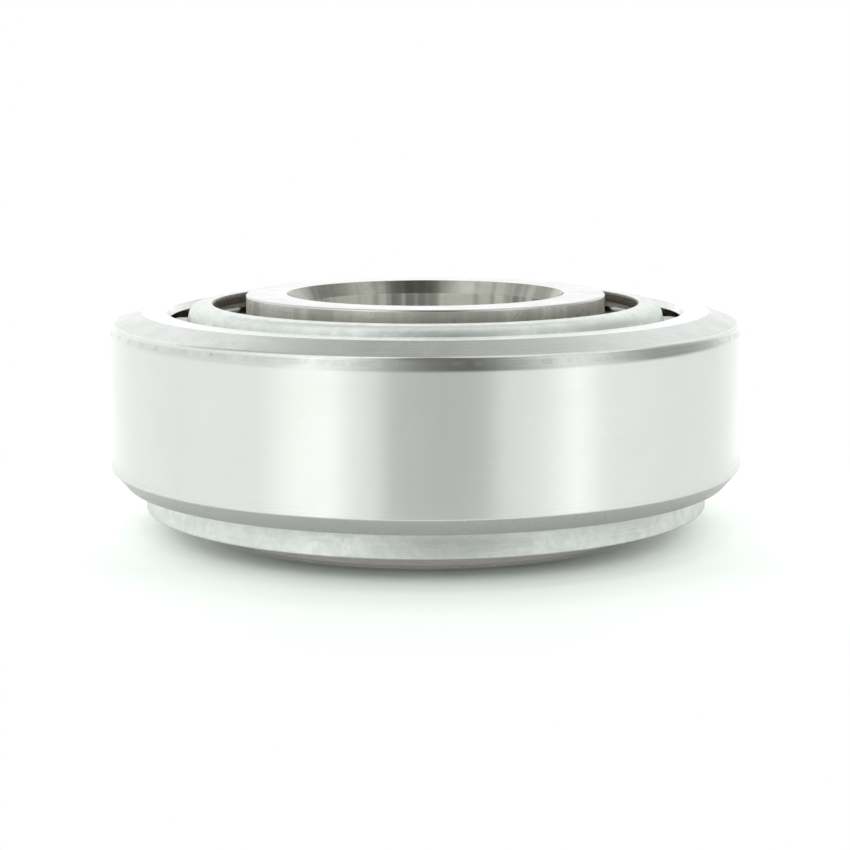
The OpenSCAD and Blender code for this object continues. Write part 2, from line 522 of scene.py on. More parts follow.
@dataclass
class Profile:
    """Closed or pole-to-pole outline of a turned piece, with the finish of each run."""

    corners: list[Corner]
    closed: bool = True
    hold: float = 0.03
    steps: int = 6
    points: list[Point] = field(default_factory=list)
    finishes: list[Finish] = field(default_factory=list)

    def trace(self) -> "Profile":
        """Works out the points with arcs at the corners and close pairs where an arc meets a run.

        Returns:
            The profile itself.
        """
        self.points, self.finishes = [], []
        last = len(self.corners) - 1
        for i, corner in enumerate(self.corners):
            before = self.corners[i - 1].at
            after = self.corners[(i + 1) % len(self.corners)].at
            if corner.radius > 0 and (self.closed or 0 < i < last):
                arc = self.arc(before, corner.at, after, corner.radius)
            else:
                arc = [corner.at]
            self.points += arc
            self.finishes += [corner.edge] * (len(arc) - 1) + [corner.run]
        if self.closed:
            self.points.append(self.points[0])
        else:
            self.finishes.pop()
        self.brace()
        return self

    def arc(self, before: Point, at: Point, after: Point, radius: float) -> list[Point]:
        """Rounds one corner.

        Args:
            before: Corner before.
            at: The corner.
            after: Corner after.
            radius: Radius of the rounding.

        Returns:
            Points of the arc.
        """
        u, v = self.toward(at, before), self.toward(at, after)
        half = math.acos(max(-1.0, min(1.0, u[0] * v[0] + u[1] * v[1]))) / 2
        middle = (u[0] + v[0], u[1] + v[1])
        size = math.hypot(*middle)
        centre = tuple(at[k] + middle[k] / size * radius / math.sin(half) for k in (0, 1))
        start = [at[k] + u[k] * radius / math.tan(half) - centre[k] for k in (0, 1)]
        end = [at[k] + v[k] * radius / math.tan(half) - centre[k] for k in (0, 1)]
        begin = math.atan2(start[1], start[0])
        turn = (math.atan2(end[1], end[0]) - begin + 3 * math.pi) % (2 * math.pi) - math.pi
        return [(centre[0] + radius * math.cos(begin + turn * i / self.steps),
                 centre[1] + radius * math.sin(begin + turn * i / self.steps)) for i in range(self.steps + 1)]

    @staticmethod
    def toward(start: Point, end: Point) -> Point:
        """Unit vector from one point to another."""
        size = math.hypot(end[0] - start[0], end[1] - start[1])
        return (end[0] - start[0]) / size, (end[1] - start[1]) / size

    def brace(self) -> None:
        """Adds a point close to both ends of each long run, so that its shading stays flat."""
        points, finishes = [self.points[0]], []
        for a, b, finish in zip(self.points, self.points[1:], self.finishes):
            gap = math.dist(a, b)
            if gap > 5 * self.hold:
                for share in (self.hold / gap, 1 - self.hold / gap):
                    points.append((a[0] + (b[0] - a[0]) * share, a[1] + (b[1] - a[1]) * share))
                    finishes.append(finish)
            points.append(b)
            finishes.append(finish)
        self.points, self.finishes = points, finishes

    def mesh(self, name: str) -> bpy.types.Mesh:
        """Makes the outline a mesh of edges with each run's finish as an attribute.

        Args:
            name: Name of the mesh.

        Returns:
            The mesh.
        """
        mesh = bpy.data.meshes.new(name)
        count = len(self.points)
        mesh.from_pydata([(r * MM, 0, z * MM) for r, z in self.points], [(i, i + 1) for i in range(count - 1)], [])
        marks = mesh.attributes.new("finish", "INT", "POINT")
        marks.data.foreach_set("value", [f.value for f in self.finishes] + [self.finishes[-1].value])
        return mesh


class Shop:
    """Runs Geometry Nodes on a starting mesh and hands back a plain mesh object."""

    def __init__(self, finishes: Finishes) -> None:
        """Keeps the materials.

        Args:
            finishes: The materials by finish.
        """
        self.finishes = finishes

    def tree(self, name: str, sizes: dict[str, str]) -> tuple[bpy.types.NodeTree, NodeSheet, bpy.types.Node]:
        """Starts a Geometry Nodes tree.

        Args:
            name: Name of the tree.
            sizes: Named inputs with their socket types.

        Returns:
            The tree, its sheet and its input node.
        """
        tree = bpy.data.node_groups.new(name, "GeometryNodeTree")
        tree.interface.new_socket(name="Geometry", in_out="INPUT", socket_type="NodeSocketGeometry")
        for label, kind in sizes.items():
            tree.interface.new_socket(name=label, in_out="INPUT", socket_type=kind)
        tree.interface.new_socket(name="Geometry", in_out="OUTPUT", socket_type="NodeSocketGeometry")
        sheet = NodeSheet(tree)
        return tree, sheet, sheet.add("NodeGroupInput")

    def dress(self, sheet: NodeSheet, geometry: bpy.types.NodeSocket, used: list[Finish]) -> None:
        """Ends a tree: realizes its instances and sets the material of each finish.

        Args:
            sheet: The tree's nodes.
            geometry: The finished geometry.
            used: The finishes on the piece.
        """
        geometry = sheet.add("GeometryNodeRealizeInstances", {"Geometry": geometry}).outputs[0]
        mark = sheet.add("GeometryNodeInputNamedAttribute", {"Name": "surface"}, data_type="INT")
        source = next(s for s in mark.outputs if s.enabled)
        for finish in used:
            same = sheet.add("FunctionNodeCompare", {"A": source, "B": finish.value}, data_type="INT",
                             operation="EQUAL")
            geometry = sheet.add("GeometryNodeSetMaterial", {
                "Geometry": geometry, "Selection": same.outputs[0], "Material": self.finishes.of(finish)}).outputs[0]
        sheet.add("NodeGroupOutput", {0: geometry})

    def lathe(self, used: list[Finish]) -> bpy.types.NodeTree:
        """Builds the tree that turns a profile about an axis and puts the result in its place.

        Args:
            used: The finishes on the piece.

        Returns:
            The tree.
        """
        tree, sheet, given = self.tree("lathe", {
            "Points": "NodeSocketInt", "Facets": "NodeSocketInt", "Lean": "NodeSocketFloat",
            "Seat": "NodeSocketVector", "Turn": "NodeSocketFloat"})
        points, facets = given.outputs["Points"], given.outputs["Facets"]
        runs = sheet.maths("SUBTRACT", points, 1)
        grid = sheet.add("GeometryNodeMeshGrid", {
            "Size X": runs, "Size Y": facets, "Vertices X": points, "Vertices Y": sheet.maths("ADD", facets, 1)})
        place = sheet.add("ShaderNodeSeparateXYZ", {0: sheet.add("GeometryNodeInputPosition").outputs[0]})
        along = sheet.maths("ADD", place.outputs[0], sheet.maths("MULTIPLY", runs, 0.5))
        angle = sheet.maths("MULTIPLY", sheet.maths("DIVIDE", place.outputs[1], facets), math.tau)
        nearest = sheet.add("FunctionNodeFloatToInt", {0: along}, rounding_mode="ROUND").outputs[0]
        run = sheet.add("FunctionNodeFloatToInt", {0: along}, rounding_mode="FLOOR").outputs[0]
        spot = sheet.add("GeometryNodeSampleIndex", {
            "Geometry": given.outputs[0], "Value": sheet.add("GeometryNodeInputPosition").outputs[0],
            "Index": nearest}, data_type="FLOAT_VECTOR", domain="POINT")
        flat = sheet.add("ShaderNodeSeparateXYZ", {0: spot.outputs[0]})
        turned = sheet.add("ShaderNodeCombineXYZ", {
            0: sheet.maths("MULTIPLY", flat.outputs[0], sheet.maths("COSINE", angle)),
            1: sheet.maths("MULTIPLY", flat.outputs[0], sheet.maths("SINE", angle)),
            2: flat.outputs[2]})
        mark = sheet.add("GeometryNodeInputNamedAttribute", {"Name": "finish"}, data_type="INT")
        chosen = sheet.add("GeometryNodeSampleIndex", {
            "Geometry": given.outputs[0], "Value": next(s for s in mark.outputs if s.enabled), "Index": run},
            data_type="INT", domain="POINT")
        stored = sheet.add("GeometryNodeStoreNamedAttribute", {
            "Geometry": grid.outputs[0], "Name": "surface", "Value": chosen.outputs[0]},
            data_type="INT", domain="FACE")
        shaped = sheet.add("GeometryNodeSetPosition", {
            "Geometry": stored.outputs[0], "Position": turned.outputs[0]})
        merged = sheet.add("GeometryNodeMergeByDistance", {"Geometry": shaped.outputs[0], "Distance": 1e-7})
        lean = sheet.add("ShaderNodeCombineXYZ", {1: given.outputs["Lean"]})
        seated = sheet.add("GeometryNodeTransform", {
            "Geometry": merged.outputs[0], "Translation": given.outputs["Seat"], "Rotation": lean.outputs[0]})
        swing = sheet.add("ShaderNodeCombineXYZ", {2: given.outputs["Turn"]})
        swung = sheet.add("GeometryNodeTransform", {"Geometry": seated.outputs[0], "Rotation": swing.outputs[0]})
        self.dress(sheet, swung.outputs[0], used)
        return tree

    def ring_pattern(self, used: list[Finish]) -> bpy.types.NodeTree:
        """Builds the tree that repeats one sector all round the axis and welds the copies.

        Args:
            used: The finishes on the piece.

        Returns:
            The tree.
        """
        tree, sheet, given = self.tree("ring_pattern", {"Count": "NodeSocketInt"})
        spots = sheet.add("GeometryNodePoints", {"Count": given.outputs["Count"]})
        step = sheet.maths("DIVIDE", math.tau, given.outputs["Count"])
        turn = sheet.maths("MULTIPLY", sheet.add("GeometryNodeInputIndex").outputs[0], step)
        swing = sheet.add("ShaderNodeCombineXYZ", {2: turn})
        copies = sheet.add("GeometryNodeInstanceOnPoints", {
            "Points": spots.outputs[0], "Instance": given.outputs[0], "Rotation": swing.outputs[0]})
        solid = sheet.add("GeometryNodeRealizeInstances", {"Geometry": copies.outputs[0]})
        merged = sheet.add("GeometryNodeMergeByDistance", {"Geometry": solid.outputs[0], "Distance": 2e-7})
        self.dress(sheet, merged.outputs[0], used)
        return tree

    def make(self, name: str, start: bpy.types.Mesh, tree: bpy.types.NodeTree, sizes: dict[str, Any],
             sharp: float = 30.0) -> bpy.types.Object:
        """Runs a tree on a mesh and keeps the result as a plain mesh.

        Args:
            name: Name of the piece.
            start: The mesh that the tree starts from.
            tree: The Geometry Nodes tree.
            sizes: Values of the tree's named inputs.
            sharp: Angle in degrees above which an edge stays sharp.

        Returns:
            The finished piece.
        """
        raw = bpy.data.objects.new(name + "_start", start)
        bpy.context.scene.collection.objects.link(raw)
        modifier = raw.modifiers.new("shape", "NODES")
        modifier.node_group = tree
        for item in tree.interface.items_tree:
            if item.item_type == "SOCKET" and item.in_out == "INPUT" and item.name in sizes:
                modifier[item.identifier] = sizes[item.name]
        bpy.context.view_layer.update()
        graph = bpy.context.evaluated_depsgraph_get()
        mesh = bpy.data.meshes.new_from_object(raw.evaluated_get(graph))
        raw.modifiers.remove(modifier)
        bpy.data.objects.remove(raw)
        mesh.name = name
        self.finish(mesh, sharp)
        piece = bpy.data.objects.new(name, mesh)
        bpy.context.scene.collection.objects.link(piece)
        return piece

    @staticmethod
    def finish(mesh: bpy.types.Mesh, sharp: float) -> None:
        """Points the faces outward and sets smooth shading with sharp edges.

        Args:
            mesh: The mesh.
            sharp: Angle in degrees above which an edge stays sharp.
        """
        work = bmesh.new()
        work.from_mesh(mesh)
        bmesh.ops.recalc_face_normals(work, faces=work.faces)
        if work.calc_volume(signed=True) < 0:
            bmesh.ops.reverse_faces(work, faces=work.faces)
        work.to_mesh(mesh)
        work.free()
        mesh.polygons.foreach_set("use_smooth", [True] * len(mesh.polygons))
        mesh.set_sharp_from_angle(angle=math.radians(sharp))


@dataclass
class OuterRing:
    """Outer ring with a ground outside, bevelled corners and a conical raceway."""

    rolling: Rolling
    band_h: float = 0.8
    band_w: float = 0.25
    back_bevel_h: float = 0.79
    back_bevel_w: float = 2.15
    front_bevel_h: float = 1.16
    front_bevel_w: float = 1.0
    race_break: float = 0.15
    mouth_bevel_w: float = 0.3
    mouth_bevel_h: float = 0.5
    facets: int = 288

    def profile(self) -> Profile:
        """Half section of the ring.

        Returns:
            The traced profile.
        """
        s = self.rolling
        outside = s.outside_d / 2
        top, low = s.assembled_w, s.front_z
        bevel_z = top - self.back_bevel_h
        band_r = outside - self.band_w
        mouth_z, cut = top - self.mouth_bevel_h, self.race_break
        return Profile([
            Corner((outside, low + self.front_bevel_h), 0.12, Finish.GROUND),
            Corner((outside, bevel_z - self.band_h), 1.6, Finish.BAND, Finish.GROUND),
            Corner((band_r, bevel_z), 0.45, Finish.BEVEL, Finish.EDGE),
            Corner((band_r - self.back_bevel_w, top), 0.10, Finish.FACE),
            Corner((s.mouth_r + self.mouth_bevel_w, top), 0.05, Finish.EDGE),
            Corner((s.outer_race_r(mouth_z), mouth_z), 0.05, Finish.RACE),
            Corner((s.outer_race_r(low + cut), low + cut), 0.05, Finish.EDGE),
            Corner((s.outer_race_r(low) + cut, low), 0.05, Finish.FACE),
            Corner((outside - self.front_bevel_w, low), 0.15, Finish.BEVEL),
        ]).trace()

    def build(self, shop: Shop) -> bpy.types.Object:
        """Turns the ring and puts it on its body.

        Args:
            shop: Runs the Geometry Nodes.

        Returns:
            The dressed ring.
        """
        profile = self.profile()
        tree = shop.lathe([Finish.GROUND, Finish.BAND, Finish.BEVEL, Finish.FACE, Finish.RACE, Finish.EDGE])
        piece = shop.make("outer_ring_dressed", profile.mesh("outer_ring_profile"), tree,
                          {"Points": len(profile.points), "Facets": self.facets})
        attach(piece, "outer_ring_body")
        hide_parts("outer_ring")
        return piece


@dataclass
class InnerRing:
    """Inner ring: bore, raceway between two ribs, and relief grooves."""

    rolling: Rolling
    large_rib_h: float = 2.4
    small_rib_h: float = 0.5
    small_rib_round: float = 0.6
    small_rib_edge: float = 0.14
    large_rib_edge: float = 0.25
    groove_depth: float = 0.3
    groove_len: float = 0.7
    rib_gap: float = 0.03
    small_rib_gap: float = 0.35
    bore_fillet: float = 1.3
    lead_h: float = 0.95
    lead_w: float = 0.43
    facets: int = 256

    def profile(self) -> Profile:
        """Half section of the ring.

        Returns:
            The traced profile.
        """
        s = self.rolling
        bore = s.bore_d / 2
        rib_r = s.inner_race(s.big_end)[0] + self.large_rib_h
        small_r = s.inner_race(s.small_end)[0] + self.small_rib_h
        large_face, small_face = s.big_end + self.rib_gap, s.small_end - self.small_rib_gap
        sunk, half = self.groove_depth, self.groove_len / 2
        return Profile([
            Corner((bore, 0), self.bore_fillet, Finish.END, Finish.LEAD),
            Corner((rib_r, 0), self.large_rib_edge, Finish.FOOT),
            Corner(s.on_face(large_face, rib_r), self.large_rib_edge, Finish.FACE),
            Corner(s.inner_race(large_face, sunk), sunk / 2, Finish.RIB, Finish.RIB),
            Corner(s.inner_race(s.big_end - half, sunk), sunk / 2, Finish.RIB, Finish.RIB),
            Corner(s.inner_race(s.big_end - self.groove_len), 0, Finish.RACE),
            Corner(s.inner_race(s.small_end + self.groove_len), 0, Finish.RIB),
            Corner(s.inner_race(s.small_end + half, sunk), sunk / 2, Finish.RIB, Finish.RIB),
            Corner(s.inner_race(small_face, sunk), sunk / 2, Finish.RIB, Finish.RIB),
            Corner(s.on_face(small_face, small_r), self.small_rib_round, Finish.RIB, Finish.RIB),
            Corner((small_r, s.inner_w), self.small_rib_edge, Finish.END, Finish.END),
            Corner((bore + self.lead_w, s.inner_w), 0.04, Finish.LEAD),
            Corner((bore, s.inner_w - self.lead_h), 0.06, Finish.BORE, Finish.LEAD),
        ]).trace()

    def build(self, shop: Shop) -> bpy.types.Object:
        """Turns the ring and puts it on its body.

        Args:
            shop: Runs the Geometry Nodes.

        Returns:
            The dressed ring.
        """
        profile = self.profile()
        tree = shop.lathe([Finish.FACE, Finish.END, Finish.FOOT, Finish.RIB, Finish.RACE, Finish.LEAD, Finish.BORE,
                           Finish.EDGE])
        piece = shop.make("inner_ring_dressed", profile.mesh("inner_ring_profile"), tree,
                          {"Points": len(profile.points), "Facets": self.facets})
        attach(piece, "inner_ring_body")
        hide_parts("inner_ring")
        return piece


@dataclass
class Rollers:
    """Tapered rollers with rounded corners and a domed large end."""

    rolling: Rolling
    corner: float = 0.35
    dome_share: float = 0.9
    race_gap: float = 0.02
    facets: int = 96

    def profile(self) -> Profile:
        """Outline of a roller from its large end up.

        Returns:
            The traced profile.
        """
        s = self.rolling
        dome_r = self.dome_share * s.big_end
        rim_r, tip_r = s.cone_r(s.big_end) - self.race_gap, s.cone_r(s.small_end) - self.race_gap
        reach = math.asin((rim_r - self.corner) / dome_r)
        dome = [Corner((dome_r * math.sin(reach * k / 6), dome_r * (1 - math.cos(reach * k / 6))), 0, Finish.ROLLER)
                for k in range(7)]
        rim_z = dome_r * (1 - math.cos(math.asin(rim_r / dome_r)))
        return Profile(dome + [
            Corner((rim_r, rim_z), self.corner, Finish.ROLLER, Finish.ROLLER),
            Corner((tip_r, s.roller_len), self.corner, Finish.ROLLER, Finish.ROLLER),
            Corner((0, s.roller_len), 0, Finish.ROLLER)], closed=False).trace()

    def build(self, shop: Shop) -> list[bpy.types.Object]:
        """Turns each roller in its place and puts it on its body.

        Args:
            shop: Runs the Geometry Nodes.

        Returns:
            The dressed rollers.
        """
        s = self.rolling
        profile = self.profile()
        tree = shop.lathe([Finish.ROLLER])
        seat = s.by_axis(s.big_end, 0)
        pieces = []
        for i in range(s.count):
            node = f"roller_{i + 1:02d}"
            piece = shop.make(node + "_dressed", profile.mesh(node + "_profile"), tree, {
                "Points": len(profile.points), "Facets": self.facets, "Lean": -s.tilt,
                "Seat": (seat[0] * MM, 0.0, seat[1] * MM), "Turn": math.tau * i / s.count})
            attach(piece, node + "_body")
            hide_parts(node)
            pieces.append(piece)
        return pieces


class Weaver:
    """Collects the vertices and marked faces of a mesh round the axis."""

    def __init__(self) -> None:
        """Starts an empty mesh."""
        self.work = bmesh.new()
        self.mark = self.work.faces.layers.int.new("surface")

    def vert(self, angle: float, radius: float, height: float) -> bmesh.types.BMVert:
        """Adds a vertex.

        Args:
            angle: Angle round the axis.
            radius: Distance from the axis.
            height: Height.

        Returns:
            The vertex.
        """
        return self.work.verts.new((radius * math.cos(angle) * MM, radius * math.sin(angle) * MM, height * MM))

    def strip(self, first: Row, second: Row, finish: Finish, ring: bool = False) -> None:
        """Joins two rows of vertices with faces.

        Args:
            first: First row.
            second: Second row, as long as the first.
            finish: Finish of the faces.
            ring: Whether both rows run round and close.
        """
        for k in range(len(first) - (not ring)):
            n = (k + 1) % len(first)
            self.work.faces.new((first[k], first[n], second[n], second[k]))[self.mark] = finish.value

    def mesh(self, name: str) -> bpy.types.Mesh:
        """Welds the rows and makes the mesh.

        Args:
            name: Name of the mesh.

        Returns:
            The mesh.
        """
        bmesh.ops.remove_doubles(self.work, verts=self.work.verts, dist=1e-7)
        bmesh.ops.recalc_face_normals(self.work, faces=self.work.faces)
        mesh = bpy.data.meshes.new(name)
        self.work.to_mesh(mesh)
        self.work.free()
        return mesh


@dataclass
class Cage:
    """Pressed sheet cage: a conical wall with a pocket for each roller, a bent crown and an inward flange."""

    rolling: Rolling
    sheet_t: float = 0.75
    lift: float = 1.8
    lean: float = 4.0
    crown_h: float = 1.68
    bend_r: float = 0.1
    flange_w: float = 1.6
    foot_drop: float = 2.33
    edge_r: float = 0.12
    pocket_gap: float = 0.12
    end_gap: float = 0.25
    pocket_corner: float = 0.6
    cap_steps: int = 6
    corner_steps: int = 7
    side_steps: int = 12
    edge_steps: int = 4

    @property
    def wall_tilt(self) -> float:
        """Angle of the wall from the bearing axis."""
        return self.rolling.tilt + math.radians(self.lean)

    def wall_r(self, height: float, depth: float = 0.0) -> float:
        """Radius of the wall at a height, at a depth below its outer face."""
        ref = self.rolling.by_axis(self.rolling.small_end, self.lift)
        return ref[0] + (ref[1] - height) * math.tan(self.wall_tilt) - depth / math.cos(self.wall_tilt)

    @property
    def crown_z(self) -> float:
        """Height of the crown's top face."""
        return self.rolling.by_axis(self.rolling.small_end, 0)[1] + self.crown_h

    @property
    def foot_z(self) -> float:
        """Height of the wall's lower edge."""
        return self.rolling.by_axis(self.rolling.big_end, 0)[1] - self.foot_drop

    @property
    def flange_r(self) -> float:
        """Radius of the flange's cut edge."""
        return self.wall_r(self.crown_z) - self.flange_w

    def pocket_outline(self, depth: float) -> list[Point]:
        """Half outline of a pocket where the roller-shaped hole leaves the sheet.

        Args:
            depth: Depth below the wall's outer face.

        Returns:
            Sideways distance and height of each point, from the low end's middle to the high end's middle.
        """
        s, bends = self.rolling, self.corner_steps
        low, high = s.big_end + self.end_gap, s.small_end - self.end_gap
        low_r, high_r = s.cone_r(low) + self.pocket_gap, s.cone_r(high) + self.pocket_gap
        hole = Profile([Corner((0.0, 0.0), 0, Finish.CUT), Corner((low_r, 0.0), self.pocket_corner, Finish.CUT),
                        Corner((high_r, low - high), self.pocket_corner, Finish.CUT),
                        Corner((0.0, low - high), 0, Finish.CUT)], closed=False, hold=1e6, steps=bends)
        bend = hole.trace().points[1:-1]
        start, end = bend[bends], bend[bends + 1]
        side = [(start[0] + (end[0] - start[0]) * k / self.side_steps,
                 start[1] + (end[1] - start[1]) * k / self.side_steps) for k in range(1, self.side_steps)]
        swept = [self.on_wall(low - up, reach, depth) for reach, up in bend[:bends + 1] + side + bend[bends + 1:]]
        shares = [k / self.cap_steps for k in range(self.cap_steps)]
        return [self.across(low, swept[0][0] * share, depth) for share in shares] + swept \
            + [self.across(high, swept[-1][0] * share, depth) for share in reversed(shares)]

    def on_wall(self, along: float, reach: float, depth: float) -> Point:
        """Where a circle round the roller's axis meets the wall.

        Args:
            along: Distance of the circle from the apex along the roller's axis.
            reach: Radius of the circle.
            depth: Depth below the wall's outer face.

        Returns:
            Sideways distance and height.
        """
        low, high = 0.0, reach
        for _ in range(40):
            side = (low + high) / 2
            r, z = self.rolling.by_axis(along, math.sqrt(reach * reach - side * side))
            if math.hypot(r, side) > self.wall_r(z, depth):
                low = side
            else:
                high = side
        return side, z

    def across(self, along: float, side: float, depth: float) -> Point:
        """Where the plane of a pocket's end meets the wall.

        Args:
            along: Distance of the plane from the apex along the roller's axis.
            side: Sideways distance.
            depth: Depth below the wall's outer face.

        Returns:
            Sideways distance and height.
        """
        low, high = 0.0, 6.0
        for _ in range(40):
            out = (low + high) / 2
            r, z = self.rolling.by_axis(along, out)
            if math.hypot(r, side) > self.wall_r(z, depth):
                high = out
            else:
                low = out
        return side, z

    def crown_line(self, depth: float) -> list[Point]:
        """Line of the sheet from the top of the wall over the bend to the flange's edge.

        Args:
            depth: Depth below the outer face.

        Returns:
            Radius and height of each point.
        """
        radius = self.bend_r + self.sheet_t
        bend = Profile([Corner((self.wall_r(self.foot_z), self.foot_z), 0, Finish.SHEET),
                        Corner((self.wall_r(self.crown_z), self.crown_z), radius, Finish.SHEET),
                        Corner((self.flange_r, self.crown_z), 0, Finish.SHEET)], closed=False, hold=1e6, steps=10)
        points = bend.trace().points[1:-1]
        centre = (points[-1][0], self.crown_z - radius)
        shrink = 1 - depth / radius
        line = [(centre[0] + (r - centre[0]) * shrink, centre[1] + (z - centre[1]) * shrink) for r, z in points]
        flat = self.flange_r + self.edge_r - centre[0]
        return line + [(centre[0] + flat * share, self.crown_z - depth) for share in (0.35, 0.7, 1.0)]

    def edge_line(self) -> list[Point]:
        """Section of a rounded cut edge.

        Returns:
            Inset from the edge and depth below the outer face of each point between the two faces.
        """
        turns = [math.pi / 2 * k / self.edge_steps for k in range(1, self.edge_steps + 1)]
        first = [(self.edge_r * (1 - math.sin(t)), self.edge_r * (1 - math.cos(t))) for t in turns]
        return first + [(inset, self.sheet_t - depth) for inset, depth in reversed(first)]

    def wall_face(self, weaver: Weaver, depth: float, low_z: float, high_z: float) -> WallFace:
        """Weaves one face of a sector's wall round its pocket.

        Args:
            weaver: Collects the mesh.
            depth: Depth below the wall's outer face.
            low_z: Height of the lower end.
            high_z: Height of the upper end.

        Returns:
            The pocket's row, the lower row and the upper row.
        """
        outline, half = self.pocket_outline(depth), math.pi / self.rolling.count
        top = len(outline) - 1
        turn_low, turn_high = self.cap_steps + 4, top - self.cap_steps - 4
        order = [(k, 1) for k in range(top + 1)] + [(k, -1) for k in range(top - 1, 0, -1)]
        hole, rim = [], []
        for k, sign in order:
            side, z = outline[k]
            hole.append((sign * math.asin(side / self.wall_r(z, depth)), z))
            if k <= turn_low:
                rim.append((sign * half * k / turn_low, low_z))
            elif k >= turn_high:
                rim.append((sign * half * (top - k) / (top - turn_high), high_z))
            else:
                rim.append((sign * half, low_z + (high_z - low_z) * (k - turn_low) / (turn_high - turn_low)))
        rows = []
        for share in (0.0, 0.12, 0.5, 1.0):
            spots = [(a[0] + (b[0] - a[0]) * share, a[1] + (b[1] - a[1]) * share) for a, b in zip(hole, rim)]
            rows.append([weaver.vert(angle, self.wall_r(z, depth), z) for angle, z in spots])
        for inner, outer in zip(rows, rows[1:]):
            weaver.strip(inner, outer, Finish.SHEET, ring=True)
        frame_row = rows[-1]
        lower = frame_row[-turn_low:] + frame_row[:turn_low + 1]
        upper = frame_row[turn_high:len(order) - turn_high + 1]
        return rows[0], lower, upper

    def sector(self) -> bpy.types.Mesh:
        """Builds one pocket's share of the cage.

        Returns:
            The sector's mesh, with each face's finish as an attribute.
        """
        weaver = Weaver()
        foot = self.foot_z + self.edge_r
        low_z = foot + 0.35 * (self.pocket_outline(0.0)[0][1] - foot)
        high_z = self.crown_line(0.0)[0][1] - 0.05
        holes, ends = [], []
        for depth in (0.0, self.sheet_t):
            hole, lower, upper = self.wall_face(weaver, depth, low_z, high_z)
            low_angles = [math.atan2(v.co.y, v.co.x) for v in lower]
            high_angles = [math.atan2(v.co.y, v.co.x) for v in upper]
            bottom = [weaver.vert(angle, self.wall_r(foot, depth), foot) for angle in low_angles]
            weaver.strip(lower, bottom, Finish.SHEET)
            for r, z in self.crown_line(depth):
                row = [weaver.vert(angle, r, z) for angle in high_angles]
                weaver.strip(upper, row, Finish.SHEET)
                upper = row
            holes.append(hole)
            ends.append((bottom, upper))
        weaver.strip(holes[0], holes[1], Finish.CUT, ring=True)
        for last, inner, angles, finish, place in (
                (ends[0][0], ends[1][0], low_angles, Finish.SHEET,
                 lambda inset, depth: (self.wall_r(self.foot_z + inset, depth), self.foot_z + inset)),
                (ends[0][1], ends[1][1], high_angles, Finish.CUT,
                 lambda inset, depth: (self.flange_r + inset, self.crown_z - depth))):
            for inset, depth in self.edge_line():
                r, z = place(inset, depth)
                row = [weaver.vert(angle, r, z) for angle in angles]
                weaver.strip(last, row, finish)
                last = row
            weaver.strip(last, inner, finish)
        return weaver.mesh("cage_sector")

    def build(self, shop: Shop) -> bpy.types.Object:
        """Repeats the pocket round the axis and puts the cage on its body.

        Args:
            shop: Runs the Geometry Nodes.

        Returns:
            The dressed cage.
        """
        tree = shop.ring_pattern([Finish.SHEET, Finish.CUT])
        piece = shop.make("cage_dressed", self.sector(), tree, {"Count": self.rolling.count}, sharp=40.0)
        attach(piece, "cage_body")
        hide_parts("cage")
        return piece


# Studio

